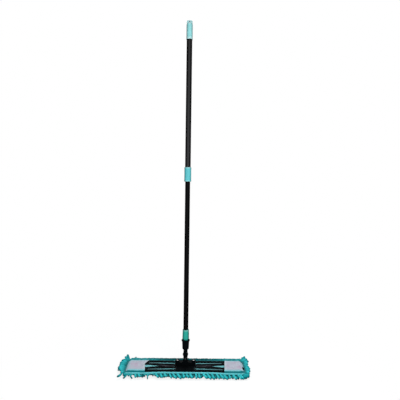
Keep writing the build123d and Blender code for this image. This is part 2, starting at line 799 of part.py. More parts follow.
collar_top_z = collar_bottom_z + collar_length
with BuildPart() as lock_collar:
    with BuildSketch(Plane.XY.offset(collar_bottom_z)):
        Circle(collar_radius)
    extrude(amount=collar_length)
    for rim_z in (collar_bottom_z, collar_top_z - collar_rim_length):
        with BuildSketch(Plane.XY.offset(rim_z)):
            Circle(collar_rim_radius)
        extrude(amount=collar_rim_length)
    rims = lock_collar.edges().filter_by(GeomType.CIRCLE).group_by(Axis.Z)
    fillet(rims[0] + rims[-1], flange_round)
    with BuildSketch(Plane.XY.offset(collar_bottom_z)):
        Circle(lower_radius + collar_bore_clearance)
    extrude(amount=collar_lip, mode=Mode.SUBTRACT)
    with BuildSketch(Plane.XY.offset(collar_bottom_z + collar_lip)):
        Circle(upper_radius + seat_clearance)
    extrude(amount=collar_length - collar_lip, mode=Mode.SUBTRACT)
save(lock_collar.part, "lock_collar")

# Hanging cap: grip sleeve on the upper tube's end, a waist and an eye across the top
with BuildPart() as hang_cap:
    with BuildSketch(Plane.XY.offset(cap_bottom_z)):
        Circle(cap_radius)
    extrude(amount=cap_shoulder_z - cap_bottom_z)
    fillet(hang_cap.faces().sort_by(Axis.Z)[-1].edges(), cap_round)
    with BuildSketch(Plane.XY.offset(cap_shoulder_z)):
        Circle(neck_radius)
    extrude(amount=neck_height + neck_root)
    with BuildSketch(across(eye_head_depth / 2)):
        with Locations((0, eye_z)):
            SlotOverall(eye_head_width, eye_head_height)
    extrude(amount=eye_head_depth)
    with BuildSketch(across(eye_head_depth / 2 + neck_radius)):
        with Locations((0, eye_z)):
            Circle(eye_hole_radius)
    extrude(amount=eye_head_depth + 2 * neck_radius, mode=Mode.SUBTRACT)
    with BuildSketch(Plane.XY.offset(cap_bottom_z)):
        Circle(upper_radius + seat_clearance)
    extrude(amount=cap_sleeve_length, mode=Mode.SUBTRACT)
save(hang_cap.part, "hang_cap")
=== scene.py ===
import json
import math

import bpy
import numpy as np
from mathutils import Matrix, Vector


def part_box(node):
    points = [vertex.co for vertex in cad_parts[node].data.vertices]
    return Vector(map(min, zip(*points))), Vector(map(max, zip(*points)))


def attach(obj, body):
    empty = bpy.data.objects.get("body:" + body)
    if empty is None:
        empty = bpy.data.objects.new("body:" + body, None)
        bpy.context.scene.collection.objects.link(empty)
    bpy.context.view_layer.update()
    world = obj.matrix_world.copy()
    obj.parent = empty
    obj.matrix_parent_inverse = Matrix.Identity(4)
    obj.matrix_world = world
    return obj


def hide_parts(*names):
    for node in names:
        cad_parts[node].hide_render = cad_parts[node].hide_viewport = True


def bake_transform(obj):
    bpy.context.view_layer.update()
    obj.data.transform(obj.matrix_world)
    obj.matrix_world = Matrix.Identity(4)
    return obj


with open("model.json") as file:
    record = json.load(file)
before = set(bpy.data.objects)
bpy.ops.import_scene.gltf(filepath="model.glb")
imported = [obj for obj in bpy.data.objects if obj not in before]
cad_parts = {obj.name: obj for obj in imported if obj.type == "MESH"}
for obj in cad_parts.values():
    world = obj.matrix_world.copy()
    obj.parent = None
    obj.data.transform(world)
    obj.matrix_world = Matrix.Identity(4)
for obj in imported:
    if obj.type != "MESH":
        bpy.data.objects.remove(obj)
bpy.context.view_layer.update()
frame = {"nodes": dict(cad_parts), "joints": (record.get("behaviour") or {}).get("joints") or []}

# Chenille mop: looks of the solid pieces, and the pad's soft pieces.
# Metres, +Z up, +Y away from the user.

scene = bpy.context.scene

# Places taken from the solid model
wing_sides = {"left": -1, "right": 1}
backing_low, backing_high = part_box("backing_right")
binding_low, binding_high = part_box("binding_right")
pocket_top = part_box("right_pocket")[1].z
cap_low, cap_high = (corner.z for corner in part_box("hang_cap"))
collar_low, collar_high = (corner.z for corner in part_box("lock_collar"))
tip_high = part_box("handle_tip")[1].z
half_length = backing_high.x  # of the pad's cloth, as is half_depth
half_depth = backing_high.y
cloth_bottom = backing_low.z
cloth_top = backing_high.z
tape_middle_z = (binding_low.z + binding_high.z) / 2
tape_half_height = (binding_high.z - binding_low.z) / 2
hinge_x = abs(next(j for j in frame["joints"] if j["name"] == "right_fold")["pos_m"][0])

# The middle line of a wing's slot, and how it draws away from the pad's middle
slot_middle_y = 0.0248
slot_slope = 0.04

# Where a painted sheen lies along the wings' middle bars, and where painted shade lies on the
# backing
# under their slots: each mark starts at the first value and is full at the second
bar_sheen_start_x, bar_sheen_end_x = (0.070, 0.090), (0.135, 0.125)
bar_sheen_y = (0.0075, 0.0020)
slot_shade_x, slot_shade_y = (0.085, 0.150), (0.012, 0.018)

# The stretch of pad that bends when a wing folds, and the finer mesh over and beside it
fold_start_x = hinge_x - 0.002
fold_end_x = hinge_x + 0.0055
fold_margin = 0.004
fold_step = 0.0012

# How far the pad's front edge sags, and where the sag starts and is full, outwards and forwards
front_sag = 0.0035
sag_start_x, sag_full_x = 0.110, 0.190
sag_start_y, sag_full_y = 0.0485, 0.0560

# Camera, as fitted to the photograph's frame
image_px = 400
focal_px = 376.02
sensor_mm = 36.0
camera_place = Vector((0.0400, -1.6776, 0.7905))
# Heading from +Y towards +X, dip and roll
camera_turns = [math.radians(degrees) for degrees in (0.544, 0.682, -0.754)]


# Mesh helpers


def new_piece(name, points, faces):
    """A smooth mesh object made of points and faces, linked to the scene."""
    mesh = bpy.data.meshes.new(name)
    mesh.from_pydata(np.asarray(points).tolist(), [], faces)
    mesh.update()
    mesh.validate()
    mesh.shade_smooth()
    piece = bpy.data.objects.new(name, mesh)
    scene.collection.objects.link(piece)
    return piece


def paint(piece, name, colours):
    """Gives each point of a piece a colour with four parts."""
    layer = piece.data.color_attributes.new(name, "FLOAT_COLOR", "POINT")
    layer.data.foreach_set("color", np.asarray(colours, np.float32).ravel())


def grid_faces(rows, columns, wrap_columns=False, first=0):
    """Quads over a grid of points that is stored row by row."""
    index = first + np.arange(rows * columns).reshape(rows, columns)
    if wrap_columns:
        index = np.hstack([index, index[:, :1]])
    corners = [index[:-1, :-1], index[:-1, 1:], index[1:, 1:], index[1:, :-1]]
    return np.stack(corners, -1).reshape(-1, 4).tolist()


def tube_faces(rings, sides, first):
    """Faces of a tube that is closed by a cap at each end."""
    last = first + (rings - 1) * sides
    caps = [range(first + sides - 1, first - 1, -1), range(last, last + sides)]
    return grid_faces(rings, sides, True, first) + caps


def flipped(faces, flip=True):
    """The same faces, looking the other way where flip is true."""
    return [face[::-1] for face in faces] if flip else faces


def cloth_piece(name, points, flip, thickness):
    """A sheet over a grid of points, thickened inwards."""
    faces = flipped(grid_faces(*points.shape[:2]), flip)
    piece = new_piece(name, points.reshape(-1, 3), faces)
    thick = piece.modifiers.new("cloth", "SOLIDIFY")
    thick.thickness = thickness
    thick.offset = -1
    return piece


def smooth_step(low, high, value):
    """0 below low, 1 above high, and an S-curve between them."""
    t = np.clip((value - low) / (high - low), 0, 1)
    return t * t * (3 - 2 * t)


def sag_at(x, y):
    """How far the cloth hangs down in front of the wings, which is most towards the pad's ends."""
    outwards = smooth_step(sag_start_x, sag_full_x, np.abs(x))
    return front_sag * outwards * smooth_step(sag_start_y, sag_full_y, -y)


def full_turn(sides):
    """Angles round a circle."""
    return np.linspace(0, 2 * math.pi, sides, endpoint=False)


def unit(ways):
    """Directions of length 1."""
    return ways / np.linalg.norm(ways, axis=-1, keepdims=True)


def lengths_along(points):
    """The length of a line of points up to each of them."""
    steps = np.linalg.norm(np.diff(points, axis=0), axis=1)
    return np.r_[0, np.cumsum(steps)]


def fold_stations(length, step):
    """Stations from 0 to length, closer together where the pad bends."""
    fine = np.arange(fold_start_x - fold_margin, fold_end_x + fold_margin, fold_step)
    after = np.arange(fine[-1] + fold_step, length, step)
    return np.r_[np.arange(0, fine[0], step), fine, after, length]


# Material helpers


class Value:
    """A number, a colour or a shader in a node tree, which other nodes take up."""

    def __init__(self, tree, socket):
        self.tree = tree
        self.socket = socket

    def calc(self, operation, other=0.0):
        """The result of one Math node."""
        return add(self.tree, "Math", {0: self, 1: other}, operation=operation)[0]

    def __mul__(self, other):
        return self.calc("MULTIPLY", other)

    def __add__(self, other):
        return self.calc("ADD", other)

    def __sub__(self, other):
        return self.calc("SUBTRACT", other)

    def __abs__(self):
        return self.calc("ABSOLUTE")

    def spread(self, low, high, out_low=0.0, out_high=1.0):
        """The value mapped from one range to another, and held inside it."""
        return add(self.tree, "MapRange", {0: self, 1: low, 2: high, 3: out_low, 4: out_high})[0]

    def mix(self, a, b):
        """Two colours mixed by this value, each a Value or its red, green and blue."""
        a, b = (c if isinstance(c, Value) else (*c, 1) for c in (a, b))
        return add(self.tree, "Mix", {0: self, 6: a, 7: b}, data_type="RGBA")[2]


def feed(tree, socket, value):
    """Links a socket to a Value, or gives it a plain number or colour."""
    if isinstance(value, Value):
        tree.links.new(value.socket, socket)
    else:
        socket.default_value = value


def add(tree, kind, inputs=None, **settings):
    """The outputs of a new shader node, by number and by name. Its inputs are filled likewise."""
    made = tree.nodes.new("ShaderNode" + kind)
    for name, value in settings.items():
        setattr(made, name, value)
    for label, value in (inputs or {}).items():
        feed(tree, made.inputs[label], value)
    outputs = [Value(tree, socket) for socket in made.outputs]
    return {**dict(enumerate(outputs)), **{value.socket.name: value for value in outputs}}


def place(tree, stretch=(1, 1, 1)):
    """Coordinates fixed to the piece, in metres, stretched by a scale."""
    where = add(tree, "TexCoord")["Object"]
    return add(tree, "Mapping", {"Vector": where, "Scale": stretch})[0]


def position(tree):
    """The X, Y and Z of a place on the piece."""
    parts = add(tree, "SeparateXYZ", {0: place(tree)})
    return [parts[axis] for axis in "XYZ"]


def noise(tree, scale, detail=3.0, roughness=0.55, stretch=(1, 1, 1)):
    """The grey value of a noise texture."""
    inputs = {"Scale": scale, "Detail": detail, "Roughness": roughness}
    return add(tree, "TexNoise", {"Vector": place(tree, stretch), **inputs})[0]


def scaled(colour, share, lift=0.0):
    """A lighter or darker colour."""
    return [min(1, c * share + lift) for c in colour]


def open_group(name, inputs):
    """A new node group with named inputs, and their Values."""
    group = bpy.data.node_groups.new(name, "ShaderNodeTree")
    for label, value in inputs.items():
        socket = group.interface.new_socket(label, in_out="INPUT", socket_type="NodeSocketFloat")
        socket.default_value = value
    given = group.nodes.new("NodeGroupInput").outputs
    return group, [Value(group, given[label]) for label in inputs]


def close_group(group, **results):
    """The group, with its results as named outputs."""
    for label in results:
        group.interface.new_socket(label, in_out="OUTPUT", socket_type="NodeSocketFloat")
    out = group.nodes.new("NodeGroupOutput").inputs
    for label, value in results.items():
        feed(group, out[label], value)
    return group


def new_material(name, **constants):
    """A material and its node tree, with plain values set on its Principled shader's sockets."""
    material = bpy.data.materials.new(name)
    material.use_nodes = True
    tree = material.node_tree
    for label, value in constants.items():
        tree.nodes["Principled BSDF"].inputs[label.replace("_", " ")].default_value = value
    return material, tree


def surfaced(material, colour, roughness, height, strength, depth):
    """The material, with a colour, a roughness and the bump of a height fed to its shader."""
    tree = material.node_tree
    bump = add(tree, "Bump", {"Height": height, "Strength": strength, "Distance": depth})[0]
    for label, value in {"Base Color": colour, "Roughness": roughness, "Normal": bump}.items():
        feed(tree, tree.nodes["Principled BSDF"].inputs[label], value)
    return material


def turned_away(tree, low, high):
    """0 where a face looks at the viewer, 1 towards its outline: the mask of a painted outline
    shade.
    """
    return add(tree, "LayerWeight", {"Blend": 0.5})["Facing"].spread(low, high)


# Effects that several finishes share


def make_moulding_group():
    """Fine spark texture of moulded plastic, cloudy tone and light scuffs."""
    group, (grain, scuff) = open_group("moulded surface", {"Grain per metre": 2600.0, "Scuff": 0.5})
    tone = noise(group, 28.0, 4.0).spread(0.3, 0.7)
    streaks = noise(group, 260.0, 5.0, 0.65, (1.0, 1.0, 0.16)).spread(0.6, 0.8)
    return close_group(group, Height=noise(group, grain, 2.0), Tone=tone, Scuffed=streaks * scuff)


def make_edge_group():
    """Mask of the sharp edges, broken up, where a moulding or a coat of paint is rubbed."""
    group, (width, breaks) = open_group(
        "rubbed edges", {"Width": 0.0008, "Breaks per metre": 500.0}
    )
    rounded = add(group, "Bevel", {"Radius": width}, samples=4)[0]
    straight = add(group, "NewGeometry")["Normal"]
    compared = add(group, "VectorMath", {0: rounded, 1: straight}, operation="DOT_PRODUCT")
    broken = noise(group, breaks).spread(0.35, 0.65, 0.25, 1.0)
    return close_group(group, Edge=compared["Value"].spread(0.995, 0.8) * broken)


def make_weave_group():
    """Over-and-under weave of a flat cloth."""
    group, (threads,) = open_group("plain weave", {"Threads per metre": 1100.0})
    x, y, _ = position(group)
    warp, weft = ((across * (threads * math.pi)).calc("SINE") for across in (x, y))
    over = warp * weft
    thread = abs(warp).calc("MAXIMUM", abs(weft))
    slubs = noise(group, 420.0, stretch=(1.0, 0.2, 1.0))
    shade = over.spread(-1, 1) * 0.5 + slubs * 0.5
    return close_group(group, Height=over * 0.35 + thread, Shade=shade)


def make_plush_group():
    """Short dense fibres of a plush yarn."""
    group, (fibres,) = open_group("plush fibres", {"Fibres per metre": 900.0})
    clumps = noise(group, fibres, 4.0, 0.7)
    hairs = noise(group, fibres * 3.3, 2.0, 0.6)
    tone = (hairs * 0.35 + clumps).spread(0.5, 0.85)
    return close_group(group, Height=hairs * 0.4 + clumps, Tone=tone)


moulding = make_moulding_group()
rubbed_edges = make_edge_group()
plain_weave = make_weave_group()
plush_fibres = make_plush_group()


# Finishes


def moulded_plastic(name, colour, worn, roughness, rim=None, ends=(), bar_sheen=None,
                    grain_depth=0.0001, **constants):
    """Plastic with a fine moulded texture, paler where its edges are rubbed.

    rim is a painted shade at its outline. ends are the heights between which it fades to another
    colour, a painted highlight on the collar and the tip. Its colour along a wing's middle bars is
    a painted sheen.
    """
    material, tree = new_material(name, **constants)
    surface = add(tree, "Group", node_tree=moulding)
    edge = add(tree, "Group", node_tree=rubbed_edges)["Edge"]
    shade = surface["Tone"].mix(scaled(colour, 0.93), scaled(colour, 1.07))
    shade = (edge * 0.55).mix(shade, worn)
    shade = (surface["Scuffed"] * 0.25).mix(shade, worn)
    if ends or bar_sheen:
        x, y, z = position(tree)
    # Bands that fade to another colour by height: painted highlights on the collar's ends and the
    # tip's top
    for start, stop, faded in ends:
        shade = z.spread(start, stop, 0.0, 0.85).mix(shade, faded)
    # A painted sheen along a wing's middle bars
    if bar_sheen:
        outward = abs(x)
        along = outward.spread(*bar_sheen_start_x, 0.3, 1.0) * outward.spread(*bar_sheen_end_x)
        middle = abs(y).spread(*bar_sheen_y, 0.0, 0.9)
        shade = (along * middle).mix(shade, bar_sheen)
    # Painted shade towards the outline
    if rim:
        shade = turned_away(tree, 0.10, 0.60).mix(shade, rim)
    rough = surface["Tone"] * 0.08 + (roughness - 0.04) + surface["Scuffed"] * 0.15
    return surfaced(material, shade, rough, surface["Height"], 0.35, grain_depth)


def tube_enamel(name, colour, rim, roughness, **constants):
    """Black coat on a tube: slight orange peel, fine rubbing along it, painted shade at its
    outline.
    """
    material, tree = new_material(name, **constants)
    peel = noise(tree, 700.0, 2.0)
    rubbed = noise(tree, 900.0, 4.0, 0.6, (1.0, 1.0, 0.02)).spread(0.58, 0.78)
    edge = add(tree, "Group", node_tree=rubbed_edges)["Edge"]
    shade = (rubbed * 0.4).mix(colour, scaled(colour, 2.2, 0.01))
    shade = (edge * 0.5).mix(shade, (0.2, 0.2, 0.2))
    # Painted shade towards the outline, leaving a painted highlight down the middle
    shade = turned_away(tree, 0.0, 0.22).mix(shade, rim)
    return surfaced(material, shade, rubbed * 0.12 + roughness, peel, 0.12, 0.0002)


def plated_steel(name, dark, light, roughness):
    """Turned steel with a plated or blackened face, of the pins, screws, springs and rivet."""
    material, tree = new_material(name, Metallic=1.0)
    turned = noise(tree, 1500.0, stretch=(1.0, 1.0, 6.0))
    blotch = noise(tree, 320.0)
    rough = blotch.spread(0.3, 0.7, roughness - 0.1, roughness + 0.1)
    return surfaced(material, blotch.mix(dark, light), rough, turned, 0.15, 0.0001)


def pocket_weave():
    """Grey-white woven cloth, faintly pink in patches and cyan along its sewn sides."""
    material, tree = new_material(
        "pocket weave", Sheen_Weight=0.15, Sheen_Roughness=0.5, Specular_IOR_Level=0.1
    )
    weave = add(tree, "Group", node_tree=plain_weave)
    patches = noise(tree, 34.0, 2.0).spread(0.50, 0.70)
    hem, cast = (add(tree, "Attribute", attribute_name=name)["Fac"] for name in ("hem", "cast"))
    shade = weave["Shade"].mix((0.45, 0.485, 0.59), (0.645, 0.67, 0.77))
    shade = (patches * 0.55).mix(shade, (0.62, 0.42, 0.60))
    shade = (hem * 0.55).mix(shade, (0.66, 0.78, 0.84))
    shade = cast.mix(shade, (0.20, 0.68, 0.74))
    rough = weave["Shade"].spread(0.0, 1.0, 0.92, 0.78)
    return surfaced(material, shade, rough, weave["Height"], 0.5, 0.0003)


def felt(name, dark, light, sheen, slot_shade=None, end_shade=None, end_depth=0.007):
    """Teal cloth with a short nap, for the backing, the edge tape and the strips.

    Its colour under the wings' slots is painted shade, greyer towards the pockets and darker still
    over each slot's front part. Its colour along the pad's ends and back is painted shade too.
    end_depth is how far from the pad's ends that shade starts.
    """
    material, tree = new_material(
        name, Sheen_Weight=sheen, Sheen_Roughness=0.45, Specular_IOR_Level=0.1
    )
    weave = add(tree, "Group", {"Threads per metre": 900.0}, node_tree=plain_weave)
    nap = add(tree, "Group", {"Fibres per metre": 1300.0}, node_tree=plush_fibres)
    shade = (nap["Tone"] * 0.6 + weave["Shade"] * 0.4).mix(dark, light)
    if slot_shade or end_shade:
        x, y, _ = position(tree)
        outward = abs(x)
    # Painted shade on the backing seen through the wings' slots
    if slot_shade:
        sideways = abs(y).spread(*slot_shade_y)
        under_slot = outward.spread(*slot_shade_x, 0.0, 0.8) * sideways
        shade = under_slot.mix(shade, slot_shade)
        behind = y - y.calc("SIGN") * (outward * slot_slope + slot_middle_y)
        in_shade = behind.spread(0.0070, 0.0020, 0.0, 0.85) * sideways
        shade = in_shade.mix(shade, scaled(slot_shade, 0.12))
    # Painted shade along the pad's ends and back
    if end_shade:
        end_start = half_length - end_depth
        at_end = outward.spread(end_start, end_start + 0.004, 0.0, 0.9)
        at_back = y.spread(half_depth - 0.010, half_depth - 0.005, 0.0, 0.9)
        shade = at_end.calc("MAXIMUM", at_back).mix(shade, end_shade)
    rough = nap["Tone"].spread(0.0, 1.0, 0.96, 0.82)
    return surfaced(material, shade, rough, nap["Height"] * 0.5 + weave["Height"], 0.5, 0.0004)


def chenille_plush():
    """Plush noodle yarn: light cyan along its body, deep teal at its tip and, in painted shade, its
    root.
    """
    material, tree = new_material(
        "chenille plush", Sheen_Weight=0.05, Sheen_Roughness=0.4, Sheen_Tint=(0.2, 0.9, 1.0, 1),
        Specular_IOR_Level=0.06,
    )
    noodle = add(tree, "Attribute", attribute_name="noodle")["Color"]
    parts = add(tree, "SeparateColor", {0: noodle})
    along, own_tone, depth = parts["Red"], parts["Green"], parts["Blue"]
    fibres = add(tree, "Group", node_tree=plush_fibres)
    lit = own_tone * 0.5 + fibres["Tone"] * 0.5
    shade = (along.spread(0.85, 0.5) * lit).mix((0.0, 0.30, 0.34), (0.080, 0.85, 0.89))
    # Painted shade in the hollows between fibre clumps
    shade = (fibres["Tone"].spread(0.45, 0.0) * 0.5).mix(shade, (0.0, 0.10, 0.12))
    shade = (along.spread(0.72, 0.95) * 0.85).mix(shade, (0.006, 0.055, 0.062))
    # Painted shade that each noodle carries: deep rows, roots and gaps between tufts
    shade = depth.mix(shade, (0.0, 0.028, 0.033))
    rough = fibres["Tone"].spread(0.0, 1.0, 1.0, 0.85)
    return surfaced(material, shade, rough, fibres["Height"], 0.8, 0.0012)


def sewing_thread(name, colour):
    """Twisted thread of the seams."""
    material, tree = new_material(name, Sheen_Weight=0.3)
    twist = noise(tree, 2400.0, 2.0)
    shade = twist.mix(scaled(colour, 0.75), colour)
    return surfaced(material, shade, twist.spread(0.3, 0.7, 0.6, 0.8), twist, 0.4, 0.0002)


pale_cyan = (0.60, 0.88, 0.90)
collar_end_highlight = (0.45, 0.80, 0.82)
sea_green = (0.25, 0.65, 0.58)
frame_black = {
    "colour": (0.0022, 0.0025, 0.0031), "worn": (0.013, 0.014, 0.016), "roughness": 0.55,
    "grain_depth": 0.00015, "Specular_IOR_Level": 0.022, "Specular_Tint": (0.2, 0.85, 1.0, 1),
}
finishes = {
    "cap": moulded_plastic(
        "pale cyan plastic", (0.30, 0.72, 0.74), pale_cyan, 0.36, (0.17, 0.33, 0.34),
        [(cap_low + 0.013, cap_low + 0.002, pale_cyan),
         (cap_high - 0.016, cap_high - 0.012, (0.36, 0.58, 0.60))],
        Specular_IOR_Level=0.2, Subsurface_Weight=0.06,
        Subsurface_Radius=(0.002, 0.004, 0.004), Subsurface_Scale=1.0,
    ),
    "collar": moulded_plastic(
        "cyan plastic", (0.13, 0.58, 0.63), (0.40, 0.78, 0.80), 0.34, (0.025, 0.26, 0.28),
        # Painted highlights on the collar's two ends
        [(collar_low + 0.006, collar_low, collar_end_highlight),
         (collar_high - 0.007, collar_high, collar_end_highlight)],
        Specular_IOR_Level=0.12,
    ),
    "tip": moulded_plastic(
        "sea green plastic", (0.026, 0.41, 0.33), sea_green, 0.36, (0.004, 0.12, 0.105),
        # Painted highlight on the tip's top
        [(tip_high - 0.008, tip_high - 0.001, sea_green)], Specular_IOR_Level=0.12,
    ),
    "frame": moulded_plastic("black frame plastic", **frame_black),
    "wing": moulded_plastic("black wing plastic", bar_sheen=(0.068, 0.070, 0.085), **frame_black),
    "lock": moulded_plastic("natural nylon", (0.58, 0.57, 0.52), (0.75, 0.74, 0.70), 0.45),
    # The upper coat is greyer than the lower: partly its own finish, partly a painted highlight
    "upper tube": tube_enamel(
        "upper tube enamel", (0.044, 0.044, 0.045), (0.0008, 0.0008, 0.0010), 0.45,
        Specular_IOR_Level=0.012,
    ),
    "lower tube": tube_enamel(
        "lower tube enamel", (0.0065, 0.0065, 0.0068), (0.0004, 0.0004, 0.0005), 0.48,
        Specular_IOR_Level=0.008,
    ),
    "zinc": plated_steel("zinc plate", (0.5, 0.51, 0.52), (0.78, 0.78, 0.76), 0.30),
    "black steel": plated_steel(
        "blackened steel", (0.02, 0.021, 0.023), (0.045, 0.045, 0.048), 0.45
    ),
    "pocket": pocket_weave(),
    "backing": felt(
        "backing felt", (0.09, 0.47, 0.52), (0.30, 0.80, 0.84), 0.2, (0.11, 0.21, 0.23),
        (0.010, 0.24, 0.28), 0.032,
    ),
    "binding": felt(
        "edge tape", (0.06, 0.51, 0.56), (0.25, 0.83, 0.88), 0.2, end_shade=(0.006, 0.17, 0.19)
    ),
    "chenille": chenille_plush(),
    "pale thread": sewing_thread("pale thread", (0.55, 0.62, 0.66)),
    "teal thread": sewing_thread("teal thread", (0.05, 0.34, 0.37)),
    # Teal cloth, its dark tone painted shade of the pocket's side
    "strip": felt("pocket strip", (0.002, 0.13, 0.15), (0.012, 0.25, 0.28), 0.1),
    "stud": moulded_plastic(
        "black stud plastic", (0.0015, 0.0015, 0.002), (0.008, 0.008, 0.008), 0.4,
        Specular_IOR_Level=0.01,
    ),
}


def dress(piece, finish):
    """Gives a piece one finish all over."""
    piece.data.materials.clear()
    piece.data.materials.append(finishes[finish])
    return piece


node_finishes = {
    "cap": ["hang_cap"],
    "collar": ["lock_collar"],
    "tip": ["handle_tip"],
    "frame": ["socket", "knuckle", "swivel_base", "centre_plate"],
    "wing": ["left_wing", "right_wing"],
    "lock": ["guide_bush", "lock_plug", "lock_ring"],
    "upper tube": ["upper_tube"],
    "lower tube": ["lower_tube"],
    "zinc": ["base_screws", "tip_rivet", "left_detent_springs", "right_detent_springs"],
    "black steel": ["tilt_pin", "roll_pin", "left_hinge_pin", "right_hinge_pin"],
}
for finish, nodes in node_finishes.items():
    for node in nodes:
        dress(frame["nodes"][node], finish)


# Chenille noodles: soft lumpy strands on a curved line, round at the tip

fine_mesh = (18, 15, 6)  # sides, rings along the body, rings round the tip
plain_mesh = (12, 8, 4)
dice = np.random.default_rng(4815)
draw = dice.uniform
noodle_radius = 0.0046
noodle_low_z = 0.0003  # no part of a noodle lies lower
clear_way = (0.31, 0.23, 0.92)  # a direction that no noodle follows
root_z = cloth_bottom - 0.001
touch_z = 0.0010  # a tip that points down at the floor
lie_z = 0.0050  # a tip that lies along the floor
row_half_length = half_length - 0.004


def noodle(root, middle, tip, size, shade=0.0, root_shade=0.0, taper=0.0, tones=(0.0, 1.0),
           late=1.0, mesh=fine_mesh):
    """One noodle from its root to its tip, bowed towards the middle point.

    size is its share of the usual radius. shade is painted shade over all of it and root_shade
    painted shade over its upper half. taper is how much thinner its tip is. tones are the limits of
    its own lightness. late above 1 keeps its dark tip shorter. Gives its points, their share of its
    length with its tone and painted shade, and its counts of rings and sides.
    """
    radius = noodle_radius * size
    sides, body_rings, tip_rings = mesh
    root, middle, tip = (np.asarray(p, float) for p in (root, middle, tip))
    length = np.linalg.norm(middle - root) * 0.6 + np.linalg.norm(tip - middle) * 0.6
    round_from = max(0.5, 1 - 1.1 * radius * (1 - taper) / length)
    bend = np.linspace(0, math.pi / 2, tip_rings + 1)[1:]
    body = np.linspace(0, round_from, body_rings)
    t = np.r_[body, round_from + (1 - round_from) * np.sin(bend)][:, None]
    rounding = np.r_[np.ones(body_rings), np.maximum(np.cos(bend), 0.12)][:, None]
    rings = len(t)
    line = (1 - t) ** 2 * root + 2 * t * (1 - t) * middle + t ** 2 * tip
    ahead = unit(2 * (1 - t) * (middle - root) + 2 * t * (tip - middle))
    aside = unit(np.cross(ahead, clear_way))
    over = np.cross(ahead, aside)
    turn = full_turn(sides)
    phase = draw(0, 2 * math.pi, 3)
    lumps = 1 + draw(-0.075, 0.075, (rings, sides))
    for depth, along, around, start in zip((0.06, 0.06, 0.05), (9, 17, 31), (2, -3, 4), phase):
        lumps += depth * np.sin(along * t + around * turn + start)
    neck = 0.86 + 0.14 * smooth_step(0.0, 0.25, t)
    reach = (radius * lumps * neck * rounding * (1 - taper * t ** 2))[..., None]
    cosine, sine = np.cos(turn)[..., None], np.sin(turn)[..., None]
    shell = line[:, None, :] + reach * (cosine * aside[:, None, :] + sine * over[:, None, :])
    shell[..., 2] = np.maximum(shell[..., 2], noodle_low_z)
    count = rings * sides
    tone = np.full(count, draw(*tones))
    along = np.repeat(t[:, 0], sides)
    # Painted shade, carried in the blue of the noodle colour
    depth = np.clip(shade + root_shade * (1 - smooth_step(0.1, 0.65, along)), 0, 1)
    marks = np.column_stack([along ** late, tone, depth, np.ones(count)])
    return shell.reshape(-1, 3), marks, (rings, sides)


def jitter(amount):
    """A small step either way."""
    return draw(-amount, amount)


def even(low, high, pitch):
    """Places at about one pitch, spread evenly between two limits."""
    count = round((high - low) / pitch)
    return low + (high - low) * (np.arange(count) + 0.5) / count


def under_noodles(side):
    """The field of noodles under the pad, lying over in swirls."""
    pitch, scatter = 0.0132, 0.0022
    field_half_length, field_half_depth = half_length - 0.008, half_depth - 0.007
    for x in even(0, field_half_length, pitch):
        for y in even(-field_half_depth, field_half_depth, pitch):
            x0 = side * (x + jitter(scatter))
            y0 = y + jitter(scatter)
            lie = 2.4 * math.sin(9 * x0) + 1.9 * math.cos(31 * y0) + jitter(0.9)
            reach = draw(0.004, 0.009)
            tip_x, tip_y = x0 + reach * math.cos(lie), y0 + reach * math.sin(lie)
            yield noodle(
                (x0, y0, root_z),
                ((x0 * 2 + tip_x) / 3, (y0 * 2 + tip_y) / 3, 0.010),
                (tip_x, tip_y, touch_z + draw(0, 0.0015)),
                draw(0.92, 1.08), 0.2, mesh=plain_mesh,
            )


# The front fringe in stretches: where each starts along X, and how high its noodles end
front_stretches = [
    (-0.300, 0.0165), (-0.217, 0.0070), (-0.173, 0.0165), (-0.131, 0.0050), (-0.101, 0.0090),
    (-0.070, 0.0040), (0.100, 0.0020),
]
curled_above_z = 0.01  # noodles that end higher than this are curled under
# Where its outer row is rooted, how far out that row stands, and how high it bows and may end
front_root_y, front_root_z = 0.002 - half_depth, 0.0165
front_out_y, curled_out_y = -0.0185 - half_depth, -0.009 - half_depth
front_bow_z, front_top_z = 0.0185, 0.0140
front_gap = 0.003  # from the outer row back to the noodles between and behind it
# The two rows in their shade: where each is rooted, how far out it stands and how dark it is
shaded_rows = [(0.008 - half_depth, 0.002 - half_depth, 0.8),
               (0.014 - half_depth, 0.008 - half_depth, 0.9)]


def front_end_z(x):
    """The height at which a noodle of the front fringe ends."""
    return [end_z for start_x, end_z in front_stretches if x >= start_x][-1]


